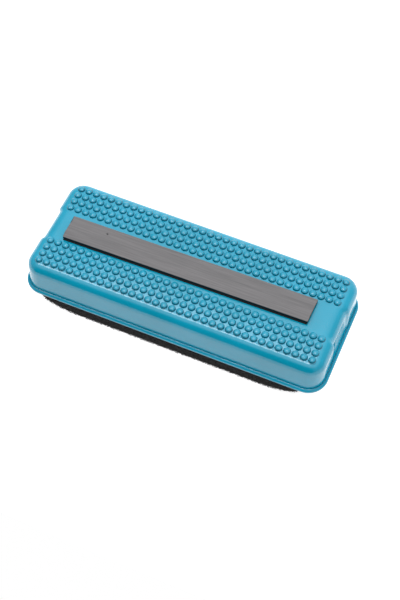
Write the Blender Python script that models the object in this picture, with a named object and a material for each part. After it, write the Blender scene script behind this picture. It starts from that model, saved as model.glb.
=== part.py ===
"""Hand-held magnetic board wiper: a studded, moulded casing over a soft cloth pad.

Metres, +Z up. The origin is on the surface that the wiper lies on, under the middle of the casing.
X runs along the length, and -Y is the front long side. Each piece is its own object, and touching
pieces keep GAP between their faces.
"""
from math import cos, pi, radians, sin, sqrt

import bmesh
import bpy
from mathutils import Matrix, Vector

MM = 0.001
GAP = 0.3 * MM

# The casing's rim: the lip's outer outline, and the height it floats at above the ground.
LENGTH = 150.0 * MM
WIDTH = 59.0 * MM
LIP_CORNER = 9.6 * MM
RIM_Z = 8.4 * MM
LIP_OUT = 1.4 * MM
LIP_HEIGHT = 1.9 * MM
LIP_ROUND = 0.4 * MM

# The casing's wall and its rounded top edge.
TOP_Z = 25.8 * MM
WALL = 1.8 * MM
CEILING = 2.0 * MM
DRAFT = 0.4 * MM
TOP_ROUND = 5.0 * MM

# The shallow notch in the middle of each short end.
NOTCH_DEPTH = 1.0 * MM
NOTCH_HALF_WIDTH = 10.2 * MM
NOTCH_EASE = 2.2 * MM

# The grip studs: two fields of four rows, with the smooth band between them.
STUD_PITCH = 3.94 * MM
STUD_COLUMNS = 35
STUD_ROWS = 4
STUD_FIELD_GAP = 5.253 * STUD_PITCH
STUD_RADIUS = 1.7 * MM
STUD_CROWN_RADIUS = 0.95 * MM
STUD_HEIGHT = 0.9 * MM
STUD_ROOT = 0.4 * MM
STUD_SIDES = 6

# The magnet strip and its tape, stuck on by hand and so a little askew.
MAGNET_LENGTH = 120.8 * MM
MAGNET_WIDTH = 12.7 * MM
MAGNET_THICK = 1.6 * MM
MAGNET_PLACE = (-1.8 * MM, -0.2 * MM)
MAGNET_TURN = radians(0.85)
TAPE_THICK = 0.3 * MM
TAPE_SHORTER = 0.6 * MM
TAPE_WIDER = 0.5 * MM
STRIP_GAP = 0.2 * MM

# The pad: flat underneath, its two ends curving up to the rim.
PAD_WIDTH = 58.4 * MM
PAD_FLAT_HALF = 45.0 * MM
PAD_END_RADIUS = 40.0 * MM
PAD_CORNER = 7.0 * MM
PAD_EDGE_ROUND = 1.5 * MM
PAD_BLUNT_END = 0.5 * MM
FOAM_EDGE_ROUND = 0.5 * MM
CLOTH_THICK = 2.7 * MM
CLOTH_FOLD = 1.0 * MM
CLOTH_WINDOW = (104.0 * MM, 40.0 * MM)

# The stiff board at the rim, the block that fills the casing, and the glue between block and ceiling.
BOARD_THICK = 1.5 * MM
FILL_CORNER = 5.5 * MM
GLUE_SIZE = (110.0 * MM, 7.0 * MM, 1.0 * MM)
GLUE_CORNER = 3.2 * MM
GLUE_Y = 14.0 * MM

# How finely the round stretches are divided, and the angle from which an edge is shaded sharp.
CORNER_STEPS = 5
FILLET_STEPS = 5
END_STEPS = 8
EDGE_STEPS = 3
NOTCH_STEPS = 3
SHARP_ANGLE = radians(35.0)


def clear_scene():
    for item in list(bpy.data.objects):
        bpy.data.objects.remove(item, do_unlink=True)


def plain_material(name, colour, roughness):
    material = bpy.data.materials.new(name)
    material.use_nodes = True
    shader = material.node_tree.nodes["Principled BSDF"]
    shader.inputs["Base Color"].default_value = (*colour, 1.0)
    shader.inputs["Roughness"].default_value = roughness
    return material


def add_object(name, form, material):
    """Turn a bmesh into a named object with one material."""
    bmesh.ops.recalc_face_normals(form, faces=form.faces)
    mesh = bpy.data.meshes.new(name)
    form.to_mesh(mesh)
    form.free()
    mesh.materials.append(material)
    mesh.shade_smooth()
    mesh.set_sharp_from_angle(angle=SHARP_ANGLE)
    item = bpy.data.objects.new(name, mesh)
    bpy.context.scene.collection.objects.link(item)
    return item


def add_boolean(item, other, operation):
    """Join or cut item with a guide object that the finished model leaves out."""
    other.hide_render = True
    other.display_type = "WIRE"
    modifier = item.modifiers.new(other.name, "BOOLEAN")
    modifier.operation = operation
    modifier.solver = "EXACT"
    modifier.object = other


def loft(rings):
    """Skin a list of equally long closed rings, and cap the first and the last."""
    form = bmesh.new()
    rows = [[form.verts.new(point) for point in ring] for ring in rings]
    count = len(rows[0])
    for low, high in zip(rows, rows[1:]):
        for i in range(count):
            j = (i + 1) % count
            form.faces.new((low[i], low[j], high[j], high[i]))
    form.faces.new(rows[0])
    form.faces.new(rows[-1])
    return form


def notch_offset(y):
    """How far the end wall is pressed in at y: full in the middle, easing out to nothing."""
    share = (NOTCH_HALF_WIDTH - abs(y)) / NOTCH_EASE
    share = min(1.0, max(0.0, share))
    return NOTCH_DEPTH * share * share * (3.0 - 2.0 * share)


def rounded_outline(half_x, half_y, corner, notch_share=None):
    """A rounded rectangle, counterclockwise from its front right corner, as a list of (x, y).

    With a notch share from 0 to 1, its two ends have points for the notch, pressed in by that share.
    """
    outline = []
    centres = [(1, -1, -90), (1, 1, 0), (-1, 1, 90), (-1, -1, 180)]
    ease = [NOTCH_HALF_WIDTH - NOTCH_EASE * k / NOTCH_STEPS for k in range(NOTCH_STEPS + 1)]
    stations = [-y for y in ease] + ease[::-1]
    for side_x, side_y, start in centres:
        for k in range(CORNER_STEPS + 1):
            turn = radians(start + 90.0 * k / CORNER_STEPS)
            x = side_x * (half_x - corner) + corner * cos(turn)
            outline.append((x, side_y * (half_y - corner) + corner * sin(turn)))
        if notch_share is not None and side_x * side_y < 0:
            for y in stations:
                pressed = notch_share * notch_offset(y)
                outline.append((side_x * (half_x - pressed), side_x * y))
    return outline


def casing_ring(inset, z, notch_share):
    outline = rounded_outline(LENGTH / 2 - inset, WIDTH / 2 - inset, LIP_CORNER - inset, notch_share)
    return [(x, y, z) for x, y in outline]


def casing_form():
    """The casing's skin from the ceiling inside, down round the rim, and up over the outside."""
    wall_in = LIP_OUT + WALL
    lip_top = RIM_Z + LIP_HEIGHT
    rings = [
        casing_ring(wall_in + DRAFT, TOP_Z - CEILING, 1.0),
        casing_ring(wall_in, RIM_Z, 1.0),
        casing_ring(LIP_ROUND, RIM_Z, 0.0),
        casing_ring(0.0, RIM_Z + LIP_ROUND, 0.0),
        casing_ring(0.0, lip_top - LIP_ROUND, 0.0),
        casing_ring(LIP_ROUND, lip_top, 0.0),
        casing_ring(LIP_OUT, lip_top, 1.0),
    ]
    for k in range(FILLET_STEPS + 1):
        turn = pi / 2 * k / FILLET_STEPS
        inset = LIP_OUT + DRAFT + TOP_ROUND * (1.0 - cos(turn))
        rings.append(casing_ring(inset, TOP_Z - TOP_ROUND * (1.0 - sin(turn)), 1.0))
    return loft(rings)


def stud_form():
    """All grip studs as low faceted domes whose roots reach just under the casing's top."""
    form = bmesh.new()
    height = STUD_HEIGHT + STUD_ROOT
    flare = (STUD_RADIUS - STUD_CROWN_RADIUS) / STUD_HEIGHT
    middle_z = TOP_Z + (STUD_HEIGHT - STUD_ROOT) / 2
    for row in range(2 * STUD_ROWS):
        step = row % STUD_ROWS
        distance = STUD_FIELD_GAP / 2 + STUD_PITCH * step
        y = distance if row >= STUD_ROWS else -distance
        for column in range(STUD_COLUMNS):
            x = STUD_PITCH * (column - (STUD_COLUMNS - 1) / 2)
            bmesh.ops.create_cone(
                form, cap_ends=True, segments=STUD_SIDES, depth=height,
                radius1=STUD_RADIUS + flare * STUD_ROOT, radius2=STUD_CROWN_RADIUS,
                matrix=Matrix.Translation((x, y, middle_z)))
    return form


def slab_form(half_x, half_y, corner, low, high):
    outline = rounded_outline(half_x, half_y, corner)
    return loft([[(x, y, z) for x, y in outline] for z in (low, high)])


def box_form(size, low, place=(0.0, 0.0), turn=0.0):
    """A plain box from its size, the height of its underside, its middle and its turn about Z."""
    form = bmesh.new()
    middle = Vector((*place, low + size[2] / 2))
    matrix = Matrix.Translation(middle) @ Matrix.Rotation(turn, 4, "Z") @ Matrix.Diagonal((*size, 1.0))
    bmesh.ops.create_cube(form, size=1.0, matrix=matrix)
    return form


def boat_form(inset, top, edge_round):
    """The pad's shape, inset all round: flat below, ends curving up on an arc to the top plane.

    Each ring is one cross-section in YZ with rounded lower edges. Towards the ends the rings get
    narrower, which rounds the pad's corners in plan.
    """
    arc = PAD_END_RADIUS - inset
    rise = PAD_END_RADIUS - (top - PAD_BLUNT_END)
    reach = sqrt(arc * arc - rise * rise)
    plan_corner = PAD_CORNER - inset
    rings = []
    for k in range(-END_STEPS, END_STEPS + 1):
        if k == 0:
            continue
        along = reach * sin(pi / 2 * (abs(k) - 1) / (END_STEPS - 1))
        x = PAD_FLAT_HALF + along
        low = PAD_END_RADIUS - sqrt(arc * arc - along * along)
        into_corner = max(0.0, along - (reach - plan_corner))
        narrowed = plan_corner - sqrt(plan_corner * plan_corner - into_corner * into_corner)
        half_y = PAD_WIDTH / 2 - inset - narrowed
        corner = min(edge_round, (top - low) / 2)
        ring = [(half_y, top), (-half_y, top)]
        for step in range(EDGE_STEPS + 1):
            turn = pi / 2 * step / EDGE_STEPS
            ring.append((-half_y + corner * (1 - cos(turn)), low + corner * (1 - sin(turn))))
        for step in range(EDGE_STEPS, -1, -1):
            turn = pi / 2 * step / EDGE_STEPS
            ring.append((half_y - corner * (1 - cos(turn)), low + corner * (1 - sin(turn))))
        rings.append([(x if k > 0 else -x, y, z) for y, z in ring])
    return loft(rings)


def add_casing():
    teal = plain_material("teal moulded plastic", (0.08, 0.42, 0.58), 0.3)
    casing = add_object("casing", casing_form(), teal)
    studs = add_object("stud guide", stud_form(), teal)
    add_boolean(casing, studs, "UNION")


def add_magnet():
    grey = plain_material("grey-faced flexible magnet", (0.27, 0.25, 0.25), 0.5)
    black = plain_material("black foam tape", (0.02, 0.02, 0.022), 0.85)
    tape_size = (MAGNET_LENGTH - TAPE_SHORTER, MAGNET_WIDTH + TAPE_WIDER, TAPE_THICK)
    tape_low = TOP_Z + STRIP_GAP
    magnet_low = tape_low + TAPE_THICK + STRIP_GAP
    magnet_size = (MAGNET_LENGTH, MAGNET_WIDTH, MAGNET_THICK)
    add_object("magnet_tape", box_form(tape_size, tape_low, MAGNET_PLACE, MAGNET_TURN), black)
    add_object("magnet_strip", box_form(magnet_size, magnet_low, MAGNET_PLACE, MAGNET_TURN), grey)


def add_filling():
    """The stiff board at the rim, the block above it, and the glue that holds the block up."""
    fibre = plain_material("grey board", (0.35, 0.31, 0.26), 0.9)
    white = plain_material("white foam", (0.8, 0.8, 0.78), 0.95)
    amber = plain_material("hot-melt glue", (0.75, 0.62, 0.36), 0.35)
    side = LIP_OUT + WALL + DRAFT + GAP
    half_x = LENGTH / 2 - side - NOTCH_DEPTH
    half_y = WIDTH / 2 - side
    board_low = RIM_Z + GAP
    block_low = board_low + BOARD_THICK + GAP
    glue_low = TOP_Z - CEILING - GAP - GLUE_SIZE[2]
    add_object("backing_board", slab_form(half_x, half_y, FILL_CORNER, board_low, block_low - GAP), fibre)
    add_object("core_block", slab_form(half_x, half_y, FILL_CORNER, block_low, glue_low - GAP), white)
    for name, y in (("glue_bead_front", -GLUE_Y), ("glue_bead_rear", GLUE_Y)):
        length, width, height = GLUE_SIZE
        bead = slab_form(length / 2, width / 2, GLUE_CORNER, glue_low, glue_low + height)
        bmesh.ops.translate(bead, verts=bead.verts, vec=(0.0, y, 0.0))
        add_object(name, bead, amber)


def add_pad():
    """The cloth with its edges turned in on top, the foam inside it, and the tape in its window."""
    black = plain_material("black pile cloth", (0.02, 0.02, 0.022), 0.95)
    grey = plain_material("grey pad foam", (0.22, 0.22, 0.23), 0.95)
    tape_black = plain_material("black foam tape", (0.02, 0.02, 0.022), 0.85)
    pad_top = RIM_Z - GAP
    hollow_top = pad_top - CLOTH_FOLD
    foam_top = hollow_top - GAP
    window = (*CLOTH_WINDOW, 2 * CLOTH_FOLD)
    cloth = add_object("wiping_cloth", boat_form(0.0, pad_top, PAD_EDGE_ROUND), black)
    hollow = add_object("pad hollow", boat_form(CLOTH_THICK, hollow_top, FOAM_EDGE_ROUND), black)
    opening = add_object("pad window", box_form(window, hollow_top - CLOTH_FOLD / 2), black)
    add_boolean(cloth, hollow, "DIFFERENCE")
    add_boolean(cloth, opening, "DIFFERENCE")
    add_object("pad_foam", boat_form(CLOTH_THICK + GAP, foam_top, FOAM_EDGE_ROUND), grey)
    tape = (CLOTH_WINDOW[0] - 2 * GAP, CLOTH_WINDOW[1] - 2 * GAP, pad_top - hollow_top)
    add_object("board_tape", box_form(tape, hollow_top), tape_black)


clear_scene()
add_casing()
add_magnet()
add_filling()
add_pad()
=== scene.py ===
# %% [markdown]
# # A magnetic board wiper, cell by cell
# The wiper is a moulded plastic casing with rows of small grip studs, a strip of flexible magnet
# stuck along its top, and a soft pile pad underneath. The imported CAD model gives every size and
# place; this script makes the fine surfaces and the finishes.
#
# Nearly every shape here is a surface computed with numpy: whole arrays of points, laid out as
# closed loops or as a grid, and then skinned with quads.

import bmesh
import bpy
import numpy as np
from mathutils import Matrix, Vector


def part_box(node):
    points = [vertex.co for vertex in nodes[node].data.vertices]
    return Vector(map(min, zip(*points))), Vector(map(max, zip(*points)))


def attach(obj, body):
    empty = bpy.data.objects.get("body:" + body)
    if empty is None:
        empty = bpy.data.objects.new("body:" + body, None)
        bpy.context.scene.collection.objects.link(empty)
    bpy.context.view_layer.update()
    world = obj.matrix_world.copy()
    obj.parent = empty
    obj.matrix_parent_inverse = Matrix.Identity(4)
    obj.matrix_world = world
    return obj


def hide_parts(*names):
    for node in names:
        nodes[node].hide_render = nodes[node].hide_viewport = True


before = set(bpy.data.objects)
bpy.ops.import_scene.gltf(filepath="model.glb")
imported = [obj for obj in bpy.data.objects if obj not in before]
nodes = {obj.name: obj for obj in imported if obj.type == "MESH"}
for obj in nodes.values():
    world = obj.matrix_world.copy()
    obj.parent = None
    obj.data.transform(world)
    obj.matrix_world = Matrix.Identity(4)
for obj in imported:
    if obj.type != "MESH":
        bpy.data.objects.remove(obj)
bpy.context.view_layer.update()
print("CAD nodes:", ", ".join(sorted(nodes)))

# %% [markdown]
# ## Units and sizes
# Lengths are in metres, and `MM` turns millimetres into metres. The outer sizes are read from the
# frame, and only the radii and steps that a box can't tell are written down.

# %% Sizes read from the frame
MM = 0.001
CAD_STUD_RISE = 0.9 * MM
casing_low, casing_high = (np.array(corner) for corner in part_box("casing"))
magnet_low, magnet_high = (np.array(corner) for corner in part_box("magnet_strip"))
cloth_high = np.array(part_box("wiping_cloth")[1])
HALF_LENGTH = casing_high[0]
HALF_WIDTH = casing_high[1]
RIM_Z = casing_low[2]
TOP_Z = casing_high[2] - CAD_STUD_RISE
print(f"casing {2 * HALF_LENGTH / MM:.1f} x {2 * HALF_WIDTH / MM:.1f} mm, top at {TOP_Z / MM:.1f} mm")

# %% The casing's radii and steps
LIP_OUT = 1.4 * MM  # how far the lip stands out from the wall's foot
LIP_HEIGHT = 1.9 * MM
LIP_CORNER = 9.6 * MM  # radius of the lip's corners, seen from above
LIP_BEVEL = 0.62 * MM  # drop of the lip's sloping top
LIP_ROUND = 0.4 * MM  # radius between the slope and the lip's side
LIP_FOOT_ROUND = 0.4 * MM
GROOVE_DEPTH = 0.6 * MM  # groove between the wall and the lip
DRAFT = 0.4 * MM  # lean of the wall, which lets the moulding leave its mould
TOP_ROUND = 5.0 * MM
WALL = 1.8 * MM
CEILING = 2.0 * MM
NOTCH_DEPTH = 1.0 * MM
NOTCH_HALF_WIDTH = 10.2 * MM
NOTCH_EASE = 2.2 * MM
PITCH = 3.94 * MM  # from stud to stud, both ways
COLUMNS, ROWS = 35, 4
FIELD_GAP = 5.253 * PITCH  # between the innermost rows of the two fields
CROWN_RISE = 0.15 * MM  # how much higher the middle stands than the plate's edge
CROWN_START, CROWN_END = 8.4 * MM, 23.0 * MM  # from the middle line, where the fall starts and ends
print(f"studs {PITCH / MM:.2f} mm apart, innermost rows {FIELD_GAP / MM:.1f} mm apart")

# %% [markdown]
# ## Helpers for meshes
# A mesh is points and faces. `make_piece` welds points that coincide, so that patches which share
# an edge become one skin, and turns all faces outwards. The other three give the faces of a stack
# of closed loops, of a fan that closes a loop over one point, and of a tube with flat ends.


# %% Make a piece from points and faces
def make_piece(name, points, faces, material, weld=1e-6, sharp_angle=40.0):
    """Build a smooth-shaded object at the origin that rides on the wiper's one body."""
    mesh = bpy.data.meshes.new(name)
    mesh.from_pydata(np.asarray(points).tolist(), [], faces)
    form = bmesh.new()
    form.from_mesh(mesh)
    bmesh.ops.remove_doubles(form, verts=form.verts, dist=weld)
    bmesh.ops.recalc_face_normals(form, faces=form.faces)
    form.to_mesh(mesh)
    form.free()
    mesh.shade_smooth()
    mesh.set_sharp_from_angle(angle=np.radians(sharp_angle))
    mesh.materials.append(material)
    piece = bpy.data.objects.new(name, mesh)
    bpy.context.scene.collection.objects.link(piece)
    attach(piece, "root")
    print(f"{name}: {len(mesh.vertices)} points, {len(mesh.polygons)} faces")
    return piece


def loop_faces(loops, count, start=0):
    """Quads between neighbouring loops of equally many points, each loop closed on itself."""
    row, step = np.meshgrid(np.arange(loops - 1), np.arange(count), indexing="ij")
    along = (step + 1) % count
    quads = np.stack([row * count + step, row * count + along,
                      (row + 1) * count + along, (row + 1) * count + step], axis=-1)
    return (quads.reshape(-1, 4) + start).tolist()


def fan_faces(start, count, tip):
    """Triangles from every side of one closed loop to a single point."""
    step = np.arange(count)
    return np.stack([start + step, start + (step + 1) % count, np.full(count, tip)], axis=1).tolist()


def tube_faces(loops, count):
    """A stack of loops, with one flat face over each end."""
    last = (loops - 1) * count
    return loop_faces(loops, count) + [list(range(count)), list(range(last, last + count))]


# %% [markdown]
# ## Colours and nodes
# Screens show sRGB, and shaders work in linear light, so one function turns a hex colour to linear.
# `add` makes one shader node with its settings and its links. `per` turns the size of a pattern's
# features into the scale that a texture node wants, which is features to the metre.


# %% Colour and node helpers
def linear(hex_colour):
    """sRGB hex to linear RGBA: the sRGB curve is a straight foot below 0.04045, then a 2.4 power."""
    srgb = np.array([int(hex_colour[i:i + 2], 16) for i in (1, 3, 5)]) / 255.0
    light = np.where(srgb <= 0.04045, srgb / 12.92, ((srgb + 0.055) / 1.055) ** 2.4)
    return (*light.tolist(), 1.0)


def grey(value):
    """A linear grey."""
    return (value, value, value, 1.0)


def per(size):
    """The texture scale at which features are about this size: one over the size in metres."""
    return 1.0 / size


def add(tree, kind, settings=None, **links):
    """Add a node; a setting names a property, an input or a ramp's stops, and a link an input."""
    node = tree.nodes.new(kind)
    for name, value in (settings or {}).items():
        if name == "stops":
            elements = node.color_ramp.elements
            while len(elements) < len(value):
                elements.new(0.5)
            for element, (place, colour) in zip(elements, value):
                element.position = place
                element.color = colour
        elif hasattr(node, name):
            setattr(node, name, value)
        else:
            node.inputs[name].default_value = value
    for name, source in links.items():
        tree.links.new(source, node.inputs[int(name[1:]) if name[0] == "i" else name])
    return node


def new_material(name):
    """A fresh material with its node tree, its Principled shader and its Object coordinates."""
    material = bpy.data.materials.new(name)
    material.use_nodes = True
    tree = material.node_tree
    place = add(tree, "ShaderNodeTexCoord").outputs["Object"]
    return material, tree, tree.nodes["Principled BSDF"], place


print("one-millimetre features need a scale of", per(MM))

# %% [markdown]
# ## Casing finish: injection-moulded ABS
# ABS is a tough, opaque plastic with an IOR near 1.54. A polished mould gives it a soft satin gloss
# with a faint orange-peel ripple. Handling leaves hair-fine scratches and a slight haze, which show
# as small changes of roughness. The ripple is about 2 mm across. The scratches are drawn a quarter
# of a millimetre apart, coarser than real ones, because finer ones would vanish.
#
# The studs' tops come from spark-eroded pockets in the mould, so they are a little more matt and
# grip better. A painted shade darkens their steep flanks, where shade falls on them, and makes each
# stud stand out from the plate.

# %% Casing colours and gloss
ABS_TEAL = [(0.3, linear("#03839E")), (0.7, linear("#068CAA"))]
# painted shade: the dark teal laid on the studs' steep flanks
STUD_PAINTED_SHADE = linear("#025468")
# how much painted shade there is, from a stud's foot, 0, to 1 mm up, 1
PAINTED_SHADE_UP_STUD = [(0.22, grey(0.0)), (0.36, grey(1.0)), (0.62, grey(1.0)), (0.95, grey(0.05))]
PLATE_ROUGH = (0.1, 0.18)
STUD_MATT = 0.05
print("plate roughness", PLATE_ROUGH, "and on the studs", STUD_MATT, "more")


# %% Casing material
def moulded_abs():
    """Satin teal ABS: slow tint clouds, fine haze, painted shade on stud flanks, ripple, hairs."""
    material, tree, shader, place = new_material("moulded ABS, satin")
    height = add(tree, "ShaderNodeSeparateXYZ", Vector=place).outputs["Z"]

    cloud = add(tree, "ShaderNodeTexNoise", {"Scale": per(22.2 * MM), "Detail": 3.0}, Vector=place)
    tint = add(tree, "ShaderNodeValToRGB", {"stops": ABS_TEAL}, Fac=cloud.outputs["Fac"])
    # painted shade: the studs' flanks are darkened by their height over the plate
    up_stud = add(tree, "ShaderNodeMapRange", {"From Min": TOP_Z, "From Max": TOP_Z + 1.0 * MM},
                  Value=height)
    painted_shade = add(tree, "ShaderNodeValToRGB", {"stops": PAINTED_SHADE_UP_STUD}, Fac=up_stud.outputs["Result"])
    shaded_tint = add(tree, "ShaderNodeMix", {"data_type": "RGBA"},
                  i0=painted_shade.outputs["Color"], i6=tint.outputs["Color"])
    shaded_tint.inputs[7].default_value = STUD_PAINTED_SHADE
    tree.links.new(shaded_tint.outputs[2], shader.inputs["Base Color"])

    haze = add(tree, "ShaderNodeTexNoise", {"Scale": per(3.125 * MM), "Detail": 4.0, "Roughness": 0.6},
               Vector=place)
    rough = add(tree, "ShaderNodeMapRange", {"To Min": PLATE_ROUGH[0], "To Max": PLATE_ROUGH[1]},
                Value=haze.outputs["Fac"])
    matt = add(tree, "ShaderNodeMapRange",
               {"From Min": TOP_Z + 0.25 * MM, "From Max": TOP_Z + 0.6 * MM, "To Max": STUD_MATT},
               Value=height)
    both = add(tree, "ShaderNodeMath", {"operation": "ADD"},
               i0=rough.outputs["Result"], i1=matt.outputs["Result"])
    tree.links.new(both.outputs["Value"], shader.inputs["Roughness"])
    shader.inputs["IOR"].default_value = 1.54

    peel = add(tree, "ShaderNodeTexNoise", {"Scale": per(2.0 * MM), "Detail": 1.0}, Vector=place)
    ripple = add(tree, "ShaderNodeBump", {"Strength": 0.12, "Distance": 0.1 * MM},
                 Height=peel.outputs["Fac"])
    slanted = add(tree, "ShaderNodeMapping", {"Scale": (1.0, 14.0, 1.0), "Rotation": (0.0, 0.0, 0.5)},
                  Vector=place)
    hairs = add(tree, "ShaderNodeTexNoise", {"Scale": per(3.846 * MM), "Detail": 5.0},
                Vector=slanted.outputs["Vector"])
    scratched = add(tree, "ShaderNodeBump", {"Strength": 0.06, "Distance": 0.05 * MM},
                    Height=hairs.outputs["Fac"], Normal=ripple.outputs["Normal"])
    tree.links.new(scratched.outputs["Normal"], shader.inputs["Normal"])
    return material


abs_teal = moulded_abs()
print("material:", abs_teal.name)

# %% [markdown]
# ## Casing: one skin from the ceiling inside to the studs on top
# The real casing is one moulding, so it is made as one closed skin:
#
# 1. the stud fields, where each stud is a small round patch in a square cell,
# 2. the smooth band between the fields, a plain grid,
# 3. a stack of closed loops that carries the edge of the top out over the round, down the wall,
#    round the lip and up the inside to the ceiling.
#
# The first two lie on a height field, so the outer studs follow the round of the edge. The plate is
# crowned by a fraction of a millimetre, as mouldings often are, and that spreads its reflections.


# %% Notch and height of the top
def notch(y):
    """How far the end wall is pressed in at y: full in the middle, easing out on a smooth step."""
    share = np.clip((NOTCH_HALF_WIDTH - np.abs(y)) / NOTCH_EASE, 0.0, 1.0)
    return NOTCH_DEPTH * share * share * (3.0 - 2.0 * share)


def crown(y, distance):
    """Rise of the plate over its edge: full in the middle band, none from the edge's round on."""
    fall = np.clip((np.abs(y) - CROWN_START) / (CROWN_END - CROWN_START), 0.0, 1.0) ** 2
    return CROWN_RISE * (1.0 - fall) * np.clip(1.0 - distance / TOP_ROUND, 0.0, 1.0) ** 2


def top_height(x, y):
    """Height of the casing's top without its studs.

    Flat inside a rounded rectangle; beyond it, at distance d, a circular arc falls away:
    z = top - R + sqrt(R * R - d * d). The plate is crowned: its middle band stands a rise higher,
    and each field falls from it with the square of the distance, so it leans out a little.
    """
    inset = LIP_OUT + DRAFT + TOP_ROUND
    corner = LIP_CORNER - inset
    over_x = np.abs(x) + notch(y) - (HALF_LENGTH - inset - corner)
    over_y = np.abs(y) - (HALF_WIDTH - inset - corner)
    outside = np.hypot(np.maximum(over_x, 0.0), np.maximum(over_y, 0.0))
    distance = np.maximum(outside + np.minimum(np.maximum(over_x, over_y), 0.0) - corner, 0.0)
    arc = np.sqrt(np.maximum(TOP_ROUND**2 - distance**2, 0.0))
    return TOP_Z - TOP_ROUND + arc + crown(y, distance)


print(f"the plate's middle is at {top_height(0.0, 0.0) / MM:.2f} mm")

# %% [markdown]
# ## Grip studs
# Each stud is a low dome, steep at its foot and gently pointed on top, so that it catches one small
# highlight. There are hundreds, so a stud has only twelve sides and four rings. Its patch starts
# from a square border that it shares with its neighbours, and all patches are worked out at once.

# %% One stud cell: rings from the square border to the peak
CELL_SIDE = np.tan(np.radians([-45.0, -15.0, 15.0]))
STUD_PROFILE = np.array([[1.84, 0.0], [1.74, 0.38], [1.44, 0.76], [0.84, 1.08]]) * MM  # radius, height
STUD_PEAK = 1.28 * MM
SIDES = 12


def cell_border():
    """Twelve points round a square of half side 1, at even angles, so that neighbours share them."""
    near = np.ones(3)
    sides = [(CELL_SIDE, -near), (near, CELL_SIDE), (-CELL_SIDE, near), (-near, -CELL_SIDE)]
    return np.concatenate([np.stack(side, axis=1) for side in sides])


print(f"stud {2 * STUD_PROFILE[0, 0] / MM:.2f} mm across, {STUD_PEAK / MM:.2f} mm high")

# %% All the studs
COLUMN_X = PITCH * (np.arange(COLUMNS) - (COLUMNS - 1) / 2)
ROW_Y = FIELD_GAP / 2 + PITCH * np.arange(ROWS)


def stud_field():
    """All stud cells at once: for each stud, its border, its rings and its peak.

    A point = stud's centre + direction * ring radius, at the plate's height there + the ring's lift.
    """
    border = cell_border()
    direction = border / np.linalg.norm(border, axis=1, keepdims=True)
    rings = [border * PITCH / 2] + [direction * radius for radius, _ in STUD_PROFILE]
    patch = np.concatenate([*rings, [[0.0, 0.0]]])
    lift = np.append(np.repeat(np.concatenate([[0.0], STUD_PROFILE[:, 1]]), SIDES), STUD_PEAK)
    centre_x, centre_y = np.meshgrid(COLUMN_X, np.concatenate([-ROW_Y, ROW_Y]))
    x = centre_x.reshape(-1, 1) + patch[:, 0]
    y = centre_y.reshape(-1, 1) + patch[:, 1]
    points = np.stack([x, y, top_height(x, y) + lift], axis=-1).reshape(-1, 3)
    peak = len(patch) - 1
    faces = []
    for start in range(0, len(points), len(patch)):
        faces += loop_faces(len(rings), SIDES, start)
        faces += fan_faces(start + peak - SIDES, SIDES, start + peak)
    return points, faces


stud_points, stud_faces = stud_field()
print("studs:", 2 * ROWS * COLUMNS)

# %% [markdown]
# ## The band between the studs
# The magnet lies on a smooth band. Its grid has the same lines across as the stud cells' borders, so
# the weld in `make_piece` joins the two without a gap.

# %% The grid lines that the cells' borders make
BAND_HALF = FIELD_GAP / 2 - PITCH / 2
BAND_Y = np.linspace(-BAND_HALF, BAND_HALF, 23)
FIELD_X = np.append((COLUMN_X[:, None] + CELL_SIDE * PITCH / 2).ravel(), PITCH * COLUMNS / 2)
FIELD_Y = (BAND_HALF + PITCH * (np.arange(ROWS)[:, None] + 0.5) + CELL_SIDE * PITCH / 2).ravel()
FIELD_Y = np.append(FIELD_Y, BAND_HALF + PITCH * ROWS)
CORE_Y = np.concatenate([-FIELD_Y[::-1], BAND_Y[1:-1], FIELD_Y])


def band():
    """The smooth band between the stud fields, as a grid on the height field."""
    x, y = np.meshgrid(FIELD_X, BAND_Y)
    points = np.stack([x, y, top_height(x, y)], axis=-1).reshape(-1, 3)
    row, step = np.meshgrid(np.arange(len(BAND_Y) - 1), np.arange(len(FIELD_X) - 1), indexing="ij")
    low = row * len(FIELD_X) + step
    quads = np.stack([low, low + 1, low + 1 + len(FIELD_X), low + len(FIELD_X)], axis=-1)
    return points, quads.reshape(-1, 4)


def core_border():
    """The rectangle round both fields, counterclockwise from its front left corner."""
    left, right, front, back = FIELD_X[0], FIELD_X[-1], CORE_Y[0], CORE_Y[-1]
    sides = [
        np.stack([FIELD_X[:-1], np.full(len(FIELD_X) - 1, front)], axis=1),
        np.stack([np.full(len(CORE_Y) - 1, right), CORE_Y[:-1]], axis=1),
        np.stack([FIELD_X[:0:-1], np.full(len(FIELD_X) - 1, back)], axis=1),
        np.stack([np.full(len(CORE_Y) - 1, left), CORE_Y[:0:-1]], axis=1),
    ]
    return np.concatenate(sides)


print(f"band {2 * BAND_HALF / MM:.1f} mm wide; border of {len(core_border())} points")

# %% [markdown]
# ## Outlines with as many points as the border
# To skin loop after loop with plain quads, every loop needs the same number of points, in the same
# order. So each rounded rectangle spends a fixed number of points on each side, half of a corner at
# either end of it. The short sides pack points where the notch bends, and save them in between.

# %% Rounded outlines
ARC = 8  # steps in half a corner
NOTCH_SHARE_IN = [0.0, 0.14, 0.4, 0.6, 0.86, 1.0]
NOTCH_SHARE_OUT = [0.0, 0.17, 0.30, 0.70, 0.83, 1.0]


def side_points(count, length, corner, spread):
    """Points along one side of a rounded rectangle, from mid-corner to mid-corner.

    Distance along is -length/2 at the corner of the sharp rectangle; spread turns an even share
    of the straight stretch into the share wanted, which packs points where the side bends.
    """
    k = np.arange(count)
    straight = spread(np.clip((k - ARC) / (count - 2 * ARC), 0.0, 1.0)) * (length - 2 * corner)
    start = np.radians(45.0) * np.clip(1.0 - k / ARC, 0.0, 1.0)
    end = np.radians(45.0) * np.clip(1.0 - (count - k) / ARC, 0.0, 1.0)
    along = -length / 2 + corner + straight + corner * (np.sin(end) - np.sin(start))
    away = corner * (2.0 - np.cos(start) - np.cos(end))
    return along, away


def pack_notch(share):
    """More points at the notch's two ends, fewer in the plain stretches between them."""
    return np.interp(share, NOTCH_SHARE_IN, NOTCH_SHARE_OUT)


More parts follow.
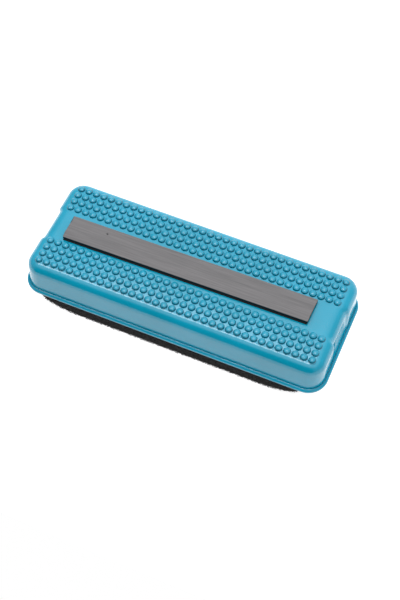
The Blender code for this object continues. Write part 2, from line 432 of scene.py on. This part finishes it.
def outline(inset, notched):
    """A rounded rectangle inset from the lip, its ends pressed in by the notch."""
    corner = max(LIP_CORNER - inset, 0.4 * MM)
    half_x, half_y = HALF_LENGTH - inset, HALF_WIDTH - inset
    long_along, long_away = side_points(len(FIELD_X) - 1, 2 * half_x, corner, np.positive)
    short_along, short_away = side_points(len(CORE_Y) - 1, 2 * half_y, corner, pack_notch)
    x = np.concatenate([long_along, half_x - short_away, -long_along, -half_x + short_away])
    y = np.concatenate([-half_y + long_away, short_along, half_y - long_away, -short_along])
    return np.stack([x - notched * np.sign(x) * notch(y), y], axis=1)


def flat_loop(inset, z, notched):
    """One outline as a level loop of points; notched runs from 0, plain, to 1, fully pressed in."""
    plan = outline(inset, notched)
    return np.column_stack([plan, np.full(len(plan), z)])


print("points in an outline:", len(outline(0.0, 1.0)))

# %% [markdown]
# ## Edge, wall and lip
# From the border of the studs the loops spread to the edge, turn down on a 5 mm round, and run down
# the leaning wall. A narrow groove parts the wall from the lip. The lip's top slopes outwards, then
# turns into its short side, and the last loops go under the rim and up the inside to the ceiling.

# %% Where the loops go
WALL_TOP = LIP_OUT + DRAFT
SHOULDER = np.radians(52.0)  # how far round the edge the height field still gives good points
LIP_TOP = RIM_Z + LIP_HEIGHT
GROOVE_Z = LIP_TOP - GROOVE_DEPTH
WALL_FOOT = GROOVE_Z + 0.2 * MM
# groove and lip, from the wall outwards: distance from the wall's foot, and height
GROOVE_SECTION = np.array([[0.06 * MM, GROOVE_Z + 0.05 * MM], [0.24 * MM, GROOVE_Z],
                           [0.44 * MM, LIP_TOP - 0.06 * MM], [0.54 * MM, LIP_TOP],
                           [0.66 * MM, LIP_TOP - 0.05 * MM]])
INNER_EASE, CEILING_ROUND = 0.2 * MM, 1.0 * MM
# under the rim and up the inside: inset from the lip, and height
INNER_SECTION = np.array([[LIP_OUT + WALL - INNER_EASE, RIM_Z], [LIP_OUT + WALL, RIM_Z + INNER_EASE],
                          [LIP_OUT + WALL + DRAFT, TOP_Z - CEILING - CEILING_ROUND],
                          [LIP_OUT + WALL + DRAFT + CEILING_ROUND, TOP_Z - CEILING]])
print(f"groove at {GROOVE_Z / MM:.2f} mm, top of the lip at {LIP_TOP / MM:.2f} mm")


# %% The stack of loops
def edge_loops():
    """Loops from the core's border outwards, down the wall, round the lip, and up the inside.

    On every round of radius R: inset = R * (1 - sin t) and drop = R * (1 - cos t), t from 0 to 90.
    """
    shoulder = outline(WALL_TOP + TOP_ROUND * (1.0 - np.sin(SHOULDER)), 1.0)
    loops = []
    for share in np.linspace(0.0, 1.0, 7):
        plan = (1.0 - share) * core_border() + share * shoulder
        loops.append(np.column_stack([plan, top_height(plan[:, 0], plan[:, 1])]))
    for turn in np.linspace(SHOULDER, np.pi / 2, 7)[1:]:
        inset = WALL_TOP + TOP_ROUND * (1.0 - np.sin(turn))
        loops.append(flat_loop(inset, TOP_Z - TOP_ROUND * (1.0 - np.cos(turn)), 1.0))
    for share in np.linspace(0.0, 1.0, 7)[1:]:
        z = (TOP_Z - TOP_ROUND) * (1.0 - share) + WALL_FOOT * share
        loops.append(flat_loop(WALL_TOP - DRAFT * share, z, 1.0 - share**2))
    for out, z in GROOVE_SECTION:
        loops.append(flat_loop(LIP_OUT - out, z, 0.0))
    for turn in np.radians(np.linspace(45.0, 90.0, 6)):
        drop = LIP_BEVEL + LIP_ROUND * (np.cos(np.pi / 4) - np.cos(turn))
        loops.append(flat_loop(LIP_ROUND * (1.0 - np.sin(turn)), LIP_TOP - drop, 0.0))
    for turn in np.radians(np.linspace(0.0, 90.0, 5)):
        inset = LIP_FOOT_ROUND * (1.0 - np.cos(turn))
        loops.append(flat_loop(inset, RIM_Z + LIP_FOOT_ROUND * (1.0 - np.sin(turn)), 0.0))
    for inset, z in INNER_SECTION:
        loops.append(flat_loop(inset, z, 1.0))
    return loops


print("loops from the studs to the ceiling:", len(edge_loops()))


# %% Join the parts of the casing
def casing_shell():
    """Stud cells, band, loops and a fan over the ceiling, welded into one closed skin."""
    band_points, band_faces = band()
    loops = edge_loops()
    count = len(loops[0])
    points = [stud_points, band_points, *loops, [[0.0, 0.0, TOP_Z - CEILING]]]
    band_start = len(stud_points)
    loop_start = band_start + len(band_points)
    middle = loop_start + len(loops) * count
    faces = stud_faces + (band_faces + band_start).tolist()
    faces += loop_faces(len(loops), count, loop_start)
    faces += fan_faces(middle - count, count, middle)
    piece = make_piece("casing_shell", np.concatenate(points), faces, abs_teal)
    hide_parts("casing")


casing_shell()

# %% [markdown]
# ## Magnet strip: bonded ferrite with a grey face
# Flexible magnet is ferrite powder in rubber, rolled into tape. Rolling leaves fine lengthwise
# lines on its grey face, and the cut sides show the black compound. It was stuck on by hand, so it
# sits a little askew, and its finish is drawn along the strip and not along the casing. The lines
# are two thirds of a millimetre apart, coarser than the roller's, so that they show.

# %% Where the strip lies
STRIP_LENGTH, STRIP_WIDTH = 120.8 * MM, 12.7 * MM
STRIP_TURN = np.radians(0.85)
STRIP_MIDDLE = (magnet_low[:2] + magnet_high[:2]) / 2
STRIP_TOP = magnet_high[2]
STRIP_LOW = TOP_Z + 0.7 * MM
FACE_DEPTH = 0.05 * MM  # how deep the grey of the face goes
print(f"strip {STRIP_LENGTH / MM:.1f} x {STRIP_WIDTH / MM:.1f} mm, top at {STRIP_TOP / MM:.1f} mm")


# %% Magnet material
def strip_place(tree, place):
    """Object coordinates moved and turned so that X runs along the strip from its middle."""
    moved = add(tree, "ShaderNodeVectorMath", {"operation": "SUBTRACT"}, i0=place)
    moved.inputs[1].default_value = (*STRIP_MIDDLE, STRIP_TOP)
    turned = add(tree, "ShaderNodeVectorRotate", {"rotation_type": "Z_AXIS", "Angle": -STRIP_TURN},
                 Vector=moved.outputs["Vector"])
    return turned.outputs["Vector"]


def bonded_ferrite():
    """Grey rolled face with long fine lines over softer streaks; black wherever it was cut."""
    material, tree, shader, place = new_material("bonded ferrite magnet tape")
    place = strip_place(tree, place)
    long_place = add(tree, "ShaderNodeMapping", {"Scale": (0.03, 1.0, 0.2)}, Vector=place)
    lines = add(tree, "ShaderNodeTexNoise", {"Scale": per(2 / 3 * MM), "Detail": 4.0, "Roughness": 0.6},
                Vector=long_place.outputs["Vector"])
    broad_place = add(tree, "ShaderNodeMapping", {"Scale": (0.12, 1.0, 1.0)}, Vector=place)
    broad = add(tree, "ShaderNodeTexNoise", {"Scale": per(6.25 * MM), "Detail": 3.0},
                Vector=broad_place.outputs["Vector"])
    fine = add(tree, "ShaderNodeValToRGB",
               {"stops": [(0.3, linear("#3B3A3C")), (0.7, linear("#706E70"))]}, Fac=lines.outputs["Fac"])
    patch = add(tree, "ShaderNodeValToRGB",
                {"stops": [(0.3, linear("#4D4C4E")), (0.7, linear("#5E5C5E"))]}, Fac=broad.outputs["Fac"])
    face = add(tree, "ShaderNodeMix", {"data_type": "RGBA", "Factor": 0.55},
               i6=fine.outputs["Color"], i7=patch.outputs["Color"])
    height = add(tree, "ShaderNodeSeparateXYZ", Vector=place).outputs["Z"]
    on_top = add(tree, "ShaderNodeMapRange",
                 {"From Min": -FACE_DEPTH - 0.02 * MM, "From Max": -FACE_DEPTH + 0.02 * MM}, Value=height)
    both = add(tree, "ShaderNodeMix", {"data_type": "RGBA"},
               i0=on_top.outputs["Result"], i7=face.outputs[2])
    both.inputs[6].default_value = linear("#050506")
    tree.links.new(both.outputs[2], shader.inputs["Base Color"])
    rough = add(tree, "ShaderNodeMapRange", {"To Min": 0.42, "To Max": 0.62}, Value=lines.outputs["Fac"])
    tree.links.new(rough.outputs["Result"], shader.inputs["Roughness"])
    bump = add(tree, "ShaderNodeBump", {"Strength": 0.25, "Distance": 0.05 * MM},
               Height=lines.outputs["Fac"])
    tree.links.new(bump.outputs["Normal"], shader.inputs["Normal"])
    return material


ferrite = bonded_ferrite()
print("material:", ferrite.name)

# %% [markdown]
# ## Strip shape: a section carried along the length
# The strip was cut with shears, so its ends are slightly ragged and the right one isn't quite
# square. A rounded rectangle is carried along the length; smooth random waves move its points in
# and out at the ends only, and two small dents press the face down.

# %% Ragged cuts and dents
CUT_SEED_LEFT, CUT_SEED_RIGHT = 4, 9
CUT_DEPTH_LEFT, CUT_DEPTH_RIGHT = 0.12 * MM, 0.05 * MM
CUT_SKEW_RIGHT = 0.035
CUT_WAVES = (1.7, 0.8, 0.37)  # lengths of the waves in mm, for each radian
END_PINCH = 0.985  # the last ring is this much narrower, which rounds the cut's edge
FLAT_STEPS, LENGTH_STEPS = 12, 120
# dents: place along the strip and across it, radius, depth
DENTS = ((-41.9 * MM, 2.84 * MM, 0.6 * MM, 0.12 * MM), (-21.4 * MM, 0.45 * MM, 1.1 * MM, 0.035 * MM))


def ragged(y, seed, depth):
    """A sheared edge: smooth random waves across the width, from a fixed seed."""
    rng = np.random.default_rng(seed)
    waves = sum(np.sin(y / (length * MM) + rng.uniform(0, 6.3)) / (k + 1)
                for k, length in enumerate(CUT_WAVES))
    return depth * waves


print("dents:", len(DENTS))


# %% Section and bar
def strip_section(half_y, low, high, edge):
    """A rectangle in YZ with small round edges, counterclockwise, as points with open spans."""
    across = np.linspace(-half_y + edge, half_y - edge, FLAT_STEPS)
    turn = np.radians([22.5, 45.0, 67.5])
    corner_y, corner_z = edge * np.sin(turn), edge * (1.0 - np.cos(turn))
    y = np.concatenate([across, half_y - edge + corner_y, [half_y, half_y],
                        half_y - edge + corner_y[::-1], across[::-1],
                        -half_y + edge - corner_y, [-half_y, -half_y], -half_y + edge - corner_y[::-1]])
    z = np.concatenate([np.full(FLAT_STEPS, low), low + corner_z, [low + edge, high - edge],
                        high - corner_z[::-1], np.full(FLAT_STEPS, high),
                        high - corner_z, [high - edge, low + edge], low + corner_z[::-1]])
    return y, z


def long_bar(name, length, width, low, high, edge, material, node, dents=()):
    """Carry the section along X, ragged at both ends, then turn and move it into place.

    A dent lowers the face by depth * exp(-(distance / radius)^2).
    """
    y, z = strip_section(width / 2, low, high, edge)
    share = np.concatenate([[0.0, 0.0015], np.linspace(0.004, 0.996, LENGTH_STEPS), [0.9985, 1.0]])
    pinch = np.ones_like(share)
    pinch[[0, -1]] = END_PINCH
    points_y = y[None, :] * pinch[:, None]
    points_z = np.repeat(z[None, :], len(share), axis=0)
    points_z[[0, -1]] = np.clip(points_z[[0, -1]], low + edge / 2, high - edge / 2)
    left_cut = ragged(points_y, CUT_SEED_LEFT, CUT_DEPTH_LEFT)
    right_cut = ragged(points_y, CUT_SEED_RIGHT, CUT_DEPTH_RIGHT) + CUT_SKEW_RIGHT * points_y
    points_x = (share[:, None] - 0.5) * (length - 0.1 * MM)
    points_x = points_x + left_cut * (share < 0.5)[:, None] + right_cut * (share > 0.5)[:, None]
    for dent_x, dent_y, radius, depth in dents:
        away = np.hypot(points_x - dent_x, points_y - dent_y) / radius
        points_z = points_z - depth * np.exp(-away**2) * (points_z > high - edge)
    cos, sin = np.cos(STRIP_TURN), np.sin(STRIP_TURN)
    world_x = STRIP_MIDDLE[0] + cos * points_x - sin * points_y
    world_y = STRIP_MIDDLE[1] + sin * points_x + cos * points_y
    points = np.stack([world_x, world_y, points_z], axis=-1).reshape(-1, 3)
    piece = make_piece(name, points, tube_faces(len(share), len(y)), material, sharp_angle=50.0)
    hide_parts(node)


long_bar("magnet_bar", STRIP_LENGTH, STRIP_WIDTH, STRIP_LOW, STRIP_TOP, 0.1 * MM,
         ferrite, "magnet_strip", DENTS)

# %% [markdown]
# ## Finishes with one pattern
# Foam, cloth, board and glue each show one pattern, which both colours and roughens them. One
# function makes them all: the pattern runs from a dark colour to a light one, and raises the bump.


# %% One pattern for colour and bump
def one_pattern(name, kind, settings, stops, roughness, strength, depth, stretch=(1.0, 1.0, 1.0)):
    """A finish whose texture drives colour and bump; round cells give a distance, noise a factor."""
    material, tree, shader, place = new_material(name)
    drawn = add(tree, "ShaderNodeMapping", {"Scale": stretch}, Vector=place)
    texture = add(tree, kind, settings, Vector=drawn.outputs["Vector"])
    value = texture.outputs["Distance" if kind == "ShaderNodeTexVoronoi" else "Fac"]
    colour = add(tree, "ShaderNodeValToRGB", {"stops": stops}, Fac=value)
    tree.links.new(colour.outputs["Color"], shader.inputs["Base Color"])
    shader.inputs["Roughness"].default_value = roughness
    bump = add(tree, "ShaderNodeBump", {"Strength": strength, "Distance": depth}, Height=value)
    tree.links.new(bump.outputs["Normal"], shader.inputs["Normal"])
    print("material:", name)
    return material


# %% [markdown]
# ## Tape under the magnet
# A double-sided foam tape, black like the compound. It is a little wider than the magnet, and drawn
# wider still, so its thin black ledge along both long sides is partly real tape and partly a painted
# shadow of the strip. Foam is dull and full of pinholes about 0.3 mm across, which the eye takes as a
# soft, deep black.

# %% Tape material and shape
# part of the tape's extra width is a painted shadow: black laid where the strip's shade falls
TAPE_WIDER_AS_SHADOW, TAPE_SHORTER = 0.8 * MM, 0.3 * MM
tape_black = one_pattern("black foam tape", "ShaderNodeTexVoronoi", {"Scale": per(2 / 7 * MM)},
                         [(0.0, linear("#020203")), (0.8, linear("#07080A"))],
                         roughness=0.85, strength=0.4, depth=0.1 * MM)
long_bar("magnet_tape_layer", STRIP_LENGTH - TAPE_SHORTER, STRIP_WIDTH + TAPE_WIDER_AS_SHADOW, TOP_Z + 0.1 * MM,
         STRIP_LOW - 0.02 * MM, 0.08 * MM, tape_black, "magnet_tape")

# %% [markdown]
# ## Pile cloth: the pad's black face
# The pad is foam wrapped in black pile cloth. A dense pile is thousands of short tufts that stand
# out from the cloth. The body under them is one closed form, flat where the wiper rests, with ends
# that curve up to the rim; the tufts are real geometry, so that the edge of the pad looks soft.
#
# No cloth simulation is run: a stiff board holds the thin pad flat, its sides have no seams to pull
# in, and its flat underside must stay flat, so the form is worked out directly.

# %% Pad profile
PAD_FLAT_HALF, PAD_END_RADIUS, PAD_CORNER = 45.0 * MM, 40.0 * MM, 7.0 * MM
PAD_HALF_WIDTH, PAD_TOP = cloth_high[1], cloth_high[2]
PAD_EDGE = 1.2 * MM  # radius along the lower edges
PAD_TOP_GAP = 0.15 * MM  # left free under the board
PILE = 0.34 * MM  # how far the ground lies inside the pile's reach
FLAT_RINGS, END_RINGS = 46, 26
UNDER_STEPS, OVER_STEPS, EDGE_STEPS = 24, 12, 7


def pad_section(along, inset):
    """Low edge and half width of the pad at each distance past its flat, on the end arc.

    Lower edge: z = R - sqrt((R - inset)^2 - d^2). Plan corners narrow the last few millimetres.
    """
    arc = PAD_END_RADIUS - inset
    low = PAD_END_RADIUS - np.sqrt(arc**2 - along**2)
    reach = np.sqrt(arc**2 - (PAD_END_RADIUS - PAD_TOP + 0.5 * MM) ** 2)
    corner = PAD_CORNER - inset
    into = np.maximum(0.0, along - (reach - corner))
    narrowed = corner - np.sqrt(np.maximum(corner**2 - into**2, 0.0))
    return low, PAD_HALF_WIDTH - inset - narrowed, reach


PAD_REACH = pad_section(np.zeros(1), PILE)[2]
print(f"each end of the pad reaches {PAD_REACH / MM:.1f} mm past its flat")


# %% Pad sections from end to end
def pad_loops(inset, round_radius):
    """Cross-sections of the pad from end to end: flat top, straight sides, rounded lower edges.

    On the lower edges: y = half - r * (1 - cos t), z = low + r * (1 - sin t), t from 0 to 90.
    """
    reach = pad_section(np.zeros(1), inset)[2]
    end = reach * np.sin(np.linspace(0.0, np.pi / 2, END_RINGS))
    flat = np.linspace(-PAD_FLAT_HALF, PAD_FLAT_HALF, FLAT_RINGS)
    x = np.concatenate([-(PAD_FLAT_HALF + end[:0:-1]), flat, PAD_FLAT_HALF + end[1:]])
    along = np.maximum(np.abs(x) - PAD_FLAT_HALF, 0.0)
    low, half, _ = pad_section(along, inset)
    top = PAD_TOP - PAD_TOP_GAP
    radius = np.minimum(round_radius, (top - low) / 2)[:, None]
    turn = np.radians(np.linspace(0.0, 90.0, EDGE_STEPS))[None, :]
    side_y = half[:, None] - radius * (1.0 - np.cos(turn))
    side_z = low[:, None] + radius * (1.0 - np.sin(turn))
    under = np.linspace(1.0, -1.0, UNDER_STEPS)[None, 1:-1]
    under_y = under * side_y[:, -1:]
    under_z = np.repeat(low[:, None], under.shape[1], axis=1)
    over_y = np.linspace(-1.0, 1.0, OVER_STEPS)[None, :] * half[:, None]
    over_z = np.full(over_y.shape, top)
    y = np.concatenate([side_y, under_y, -side_y[:, ::-1], over_y], axis=1)
    z = np.concatenate([side_z, under_z, side_z[:, ::-1], over_z], axis=1)
    return np.stack([np.repeat(x[:, None], y.shape[1], axis=1), y, z], axis=-1)


def padded_body(name, loops, material, node):
    """A closed padded form that takes the place of a CAD solid."""
    piece = make_piece(name, loops.reshape(-1, 3), tube_faces(*loops.shape[:2]), material)
    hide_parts(node)


print("points round one section of the pad:", pad_loops(PILE, PAD_EDGE).shape[1])

# %% Pile material and the cloth's ground
# Fibres scatter light in all directions, so pile is very dull, with only a breath of sheen. The
# tufts lean together in clumps about 1.7 mm across, which break its black into darker and lighter.
pile_black = one_pattern("black pile cloth", "ShaderNodeTexNoise",
                         {"Scale": per(5 / 3 * MM), "Detail": 3.0},
                         [(0.3, linear("#020203")), (0.7, linear("#0B0A0B"))],
                         roughness=0.95, strength=0.6, depth=0.4 * MM)
pile_shader = pile_black.node_tree.nodes["Principled BSDF"]
pile_shader.inputs["Specular IOR Level"].default_value = 0.3
pile_shader.inputs["Sheen Weight"].default_value = 0.05
pile_shader.inputs["Sheen Roughness"].default_value = 0.5
padded_body("wiping_pad", pad_loops(PILE, PAD_EDGE), pile_black, "wiping_cloth")

# %% [markdown]
# ## Tufts: where they stand
# The tufts stand on a jittered grid that is wrapped round the pad: one direction runs along it and
# up the curved ends, and the other across the underside and up both sides. A spot's outward
# direction turns smoothly from down to sideways at the lower edges.

# %% Spots for the tufts
TUFT_STEP = 0.8 * MM
TUFT_JITTER = 0.45  # share of a step
EDGE_BLEND = 1.3 * MM
SIDE_DROOP = 0.12


def surface_spots(rng):
    """Points and outward directions all over the pad's underside, sides and curved ends."""
    half_path = PAD_FLAT_HALF + PAD_END_RADIUS * np.arcsin(PAD_REACH / PAD_END_RADIUS)
    side_height = PAD_TOP - 0.6 * MM
    columns = int(2 * half_path / TUFT_STEP)
    rows = int((2 * PAD_HALF_WIDTH + 2 * side_height) / TUFT_STEP)
    s, t = np.meshgrid(np.linspace(-1, 1, columns), np.linspace(-1, 1, rows), indexing="ij")
    s = s.ravel() * half_path + rng.uniform(-TUFT_JITTER, TUFT_JITTER, s.size) * TUFT_STEP
    t = (t.ravel() * (PAD_HALF_WIDTH + side_height)
         + rng.uniform(-TUFT_JITTER, TUFT_JITTER, t.size) * TUFT_STEP)
    s = np.clip(s, -half_path, half_path)
    angle = np.maximum(np.abs(s) - PAD_FLAT_HALF, 0.0) / PAD_END_RADIUS
    along = np.minimum((PAD_END_RADIUS - PILE) * np.sin(angle), PAD_REACH)
    x = np.sign(s) * (np.minimum(np.abs(s), PAD_FLAT_HALF) + along)
    low, half, _ = pad_section(along, PILE)
    on_side = np.abs(t) > half
    y = np.clip(t, -half, half)
    z = low + np.where(on_side, np.abs(t) - half, 0.0)
    keep = z < PAD_TOP - 0.35 * MM
    tilt = np.where(on_side, 0.0, np.sin(angle))
    normal = np.stack([np.sign(s) * tilt, np.where(on_side, np.sign(t), 0.0),
                       np.where(on_side, -SIDE_DROOP, -np.cos(angle))], axis=1)
    edge = np.clip(1.0 - np.abs(np.abs(t) - half) / EDGE_BLEND, 0.0, 1.0)
    normal[:, 1] += np.sign(t) * edge * (~on_side)
    normal[:, 2] -= edge * on_side
    normal /= np.linalg.norm(normal, axis=1, keepdims=True)
    return np.stack([x, y, z], axis=1)[keep], normal[keep]


rng = np.random.default_rng(21)
spots, normals = surface_spots(rng)
print("spots for tufts:", len(spots))

# %% [markdown]
# ## Tufts: one bent, tapering wisp at each spot
# A wisp has a root ring, a middle ring and a tip, with three corners to a ring: ten triangles are
# enough for something a third of a millimetre long. Each leans its own way.

# %% Wisps
WISP_LENGTH, WISP_RADIUS, WISP_LEAN = (0.2 * MM, 0.35 * MM), (0.2 * MM, 0.32 * MM), 0.45
WISP_RINGS = ((-0.5, 1.0), (0.45, 0.85))  # place along the wisp, and share of its radius
WISP_POINTS = 7


def wisps(name, spots, normals, rng):
    """Three-sided wisps: a root ring, a middle ring and a tip that leans sideways.

    Ring corner = centre + radius * (cos(a) * side + sin(a) * other), tip = spot + length * outwards
    + lean * length * side, where side is a random direction square to the outward one.
    """
    count = len(spots)
    side = rng.normal(size=(count, 3))
    side -= normals * np.sum(side * normals, axis=1, keepdims=True)
    side /= np.linalg.norm(side, axis=1, keepdims=True)
    other = np.cross(normals, side)
    long = rng.uniform(*WISP_LENGTH, size=(count, 1))
    bend = rng.uniform(0.2, 1.0, size=(count, 1)) * WISP_LEAN
    thick = rng.uniform(*WISP_RADIUS, size=(count, 1))
    spin = rng.uniform(0, 2 * np.pi, size=(count, 1))
    rings = []
    for share, width in WISP_RINGS:
        centre = spots + normals * long * share + side * long * bend * max(share, 0.0) ** 2
        for corner in range(3):
            turn = spin + corner * 2 * np.pi / 3
            rings.append(centre + thick * width * (np.cos(turn) * side + np.sin(turn) * other))
    tip = spots + normals * long + side * long * bend
    points = np.stack([*rings, tip], axis=1)
    points[..., 2] = np.clip(points[..., 2], 0.02 * MM, PAD_TOP - 0.05 * MM)
    base = (np.arange(count) * WISP_POINTS)[:, None, None]
    quads = np.array(loop_faces(2, 3))
    tips = np.array(fan_faces(3, 3, 6) + [[2, 1, 0]])
    faces = (quads + base).reshape(-1, 4).tolist() + (tips + base).reshape(-1, 3).tolist()
    make_piece(name, points.reshape(-1, 3), faces, pile_black, weld=0.0)


wisps("pile_tufts", spots, normals, rng)

# %% [markdown]
# ## Inner pieces
# The foam inside the cloth, the block that fills the casing, the board, the tape and the glue are
# closed in, but the model can be taken apart, so each gets the finish of its own material.
#
# Foam is round cells with thin bright walls: half a millimetre in the soft pad, and beads of about
# 2.5 mm in the moulded block. The pad's foam is crowned a little on top, as cut foam is when the
# cloth is drawn round it.

# %% Foam inside the pad
FOAM_INSET = 3.0 * MM
FOAM_CELL, BEAD = 0.5 * MM, 2.5 * MM


def open_foam(name, dark, light, cell):
    """Foam: round cells of this size, dark in their middles and light at their walls."""
    return one_pattern(name, "ShaderNodeTexVoronoi", {"Scale": per(cell)},
                       [(0.0, linear(dark)), (0.7, linear(light))],
                       roughness=0.9, strength=0.5, depth=cell / 4)


def foam_loops():
    """The pad's sections, further in, with a top that rises as 1 - (y / half width)^2."""
    loops = pad_loops(FOAM_INSET, 1.0 * MM)
    middle = 1.0 - (loops[..., 1] / PAD_HALF_WIDTH) ** 2
    crowned = PAD_TOP - 1.6 * MM + 0.3 * MM * middle
    loops[..., 2] = np.where(loops[..., 2] > PAD_TOP - 0.2 * MM, crowned, loops[..., 2])
    loops[..., 2] = np.minimum(loops[..., 2], PAD_TOP - 1.3 * MM)
    return loops


soft_foam = open_foam("open-cell foam", "#4A4A4C", "#6E6E70", FOAM_CELL)
padded_body("pad_filling", foam_loops(), soft_foam, "pad_foam")

# %% [markdown]
# ## Board, block, tape and glue
# These keep their CAD shapes. Pressed board shows fibres that lie along it, most of them about
# 0.8 mm wide here so that they show. Hot-melt glue is honey-coloured, smooth and wavy, because it
# sets as it flowed, in waves of 4 or 5 mm.


# %% Dress the inner CAD nodes
def dress(node, material):
    """Give a CAD node its finish."""
    nodes[node].data.materials.clear()
    nodes[node].data.materials.append(material)


board = one_pattern("pressed grey board", "ShaderNodeTexNoise",
                    {"Scale": per(5 / 6 * MM), "Detail": 5.0},
                    [(0.3, linear("#7E7464")), (0.7, linear("#9D9382"))],
                    roughness=0.9, strength=0.3, depth=0.1 * MM, stretch=(0.3, 1.0, 1.0))
glue = one_pattern("hot-melt glue", "ShaderNodeTexNoise", {"Scale": per(4.55 * MM), "Detail": 2.0},
                   [(0.3, linear("#C9A35C")), (0.7, linear("#DCC084"))],
                   roughness=0.3, strength=0.5, depth=0.3 * MM)
dress("backing_board", board)
dress("core_block", open_foam("moulded bead foam", "#D9D9D4", "#F2F2EE", BEAD))
dress("board_tape", tape_black)
dress("glue_bead_front", glue)
dress("glue_bead_rear", glue)
print("dressed the inner CAD nodes")

# %% [markdown]
# ## Floor
# The wiper lies on a white table that glows a little, as a light table does, so that its shadow
# stays faint. The table ends 10 cm in front of the wiper, so its front wall reflects less of it.

# %% White table
TABLE_REACH, TABLE_FRONT = 3.0, -0.13
TABLE_CORNERS = [(-TABLE_REACH, TABLE_FRONT, 0), (TABLE_REACH, TABLE_FRONT, 0),
                 (TABLE_REACH, TABLE_REACH, 0), (-TABLE_REACH, TABLE_REACH, 0)]


def white_table():
    """A plain sheet with a glow."""
    mesh = bpy.data.meshes.new("white_table")
    mesh.from_pydata(TABLE_CORNERS, [], [(0, 1, 2, 3)])
    floor = bpy.data.objects.new("white_table", mesh)
    bpy.context.scene.collection.objects.link(floor)
    material, _, shader, _ = new_material("glowing white table")
    shader.inputs["Base Color"].default_value = linear("#B4B4B4")
    shader.inputs["Roughness"].default_value = 0.8
    shader.inputs["Emission Color"].default_value = grey(1.0)
    shader.inputs["Emission Strength"].default_value = 0.88
    mesh.materials.append(material)


white_table()
print("the table ends", -TABLE_FRONT, "m in front of the wiper's middle")

# %% [markdown]
# ## Light tent
# A tent of white cloth lights the wiper softly from all round. It is brighter high up and at the
# back, and has a dark opening in front, which draws the dark band along the casing's round edge.
# Three softboxes hang over it and make the top gleam.

# %% Tent
TENT_UP = [(0.0, grey(0.55)), (0.6, grey(0.55)), (0.86, grey(1.75))]  # brightness by height
TENT_BACK = [(0.5, grey(0.0)), (0.75, grey(0.7))]  # extra brightness towards the back
OPENING = {"From Min": -0.78, "From Max": -0.58}
OPENING_GREY = grey(0.03)


def light_tent():
    """Bright all round, but dark in a cone in front; looked at directly, it is plain white."""
    world = bpy.data.worlds.new("light tent")
    bpy.context.scene.world = world
    world.use_nodes = True
    tree = world.node_tree
    direction = add(tree, "ShaderNodeTexCoord").outputs["Generated"]
    parts = add(tree, "ShaderNodeSeparateXYZ", Vector=direction)
    up = add(tree, "ShaderNodeValToRGB", {"stops": TENT_UP}, Fac=parts.outputs["Z"])
    back = add(tree, "ShaderNodeValToRGB", {"stops": TENT_BACK}, Fac=parts.outputs["Y"])
    tent = add(tree, "ShaderNodeMix", {"data_type": "RGBA", "blend_type": "ADD", "Factor": 1.0},
               i6=up.outputs["Color"], i7=back.outputs["Color"])
    opening = add(tree, "ShaderNodeMapRange", OPENING, Value=parts.outputs["Y"])
    sky = add(tree, "ShaderNodeMix", {"data_type": "RGBA"},
              i0=opening.outputs["Result"], i7=tent.outputs[2])
    sky.inputs[6].default_value = OPENING_GREY
    seen = add(tree, "ShaderNodeLightPath").outputs["Is Camera Ray"]
    shown = add(tree, "ShaderNodeMix", {"data_type": "RGBA"}, i0=seen, i6=sky.outputs[2])
    shown.inputs[7].default_value = grey(1.0)
    background = tree.nodes["Background"]
    tree.links.new(shown.outputs[2], background.inputs["Color"])
    background.inputs["Strength"].default_value = 1.0


light_tent()
print("world:", bpy.context.scene.world.name)

# %% Softboxes
# name, place, size along X and Y, and power in watts
SOFTBOXES = (("ceiling softbox", (-0.1, 0.14, 0.9), (0.8, 0.58), 1.5),
             ("overhead strip", (-0.1, -0.06, 0.88), (0.8, 0.15), 2.3),
             ("rear strip", (-0.12, 0.405, 0.89), (0.46, 0.09), 0.5))
for name, place, size, power in SOFTBOXES:
    lamp = bpy.data.lights.new(name, "AREA")
    lamp.shape = "RECTANGLE"
    lamp.size, lamp.size_y = size
    lamp.energy = power
    softbox = bpy.data.objects.new(name, lamp)  # a fresh area lamp faces straight down
    softbox.location = place
    bpy.context.scene.collection.objects.link(softbox)
print("softboxes:", len(SOFTBOXES))

# %% [markdown]
# ## Camera
# The camera stands on a sphere round the point that it aims at, above and in front of the wiper's
# right end. Its lens is long, so that the far end doesn't look much smaller than the near one.

# %% Place the camera
CAMERA_AIM = Vector((0.00978, -0.01303, 0.02613))
CAMERA_DISTANCE, CAMERA_AZIMUTH, CAMERA_ELEVATION, CAMERA_ROLL = 0.53165, 23.222, 57.503, 0.189
SENSOR_WIDTH, FOCAL_LENGTH = 36.0, 70.98


def place_camera():
    """Turn by azimuth, then tilt, then roll; stand back along the camera's own Z."""
    camera = bpy.data.cameras.new("camera")
    camera.sensor_width = SENSOR_WIDTH
    camera.lens = FOCAL_LENGTH
    camera.clip_start = 0.01
    item = bpy.data.objects.new("camera", camera)
    turn = (Matrix.Rotation(np.radians(CAMERA_AZIMUTH), 4, "Z")
            @ Matrix.Rotation(np.radians(90.0 - CAMERA_ELEVATION), 4, "X")
            @ Matrix.Rotation(np.radians(CAMERA_ROLL), 4, "Z"))
    back = turn @ Vector((0.0, 0.0, CAMERA_DISTANCE))
    item.matrix_world = Matrix.Translation(CAMERA_AIM + back) @ turn
    bpy.context.scene.collection.objects.link(item)
    bpy.context.scene.camera = item


place_camera()
bpy.context.scene.view_settings.view_transform = "Standard"
print("camera", CAMERA_DISTANCE, "m from its aim,", CAMERA_ELEVATION, "degrees up")
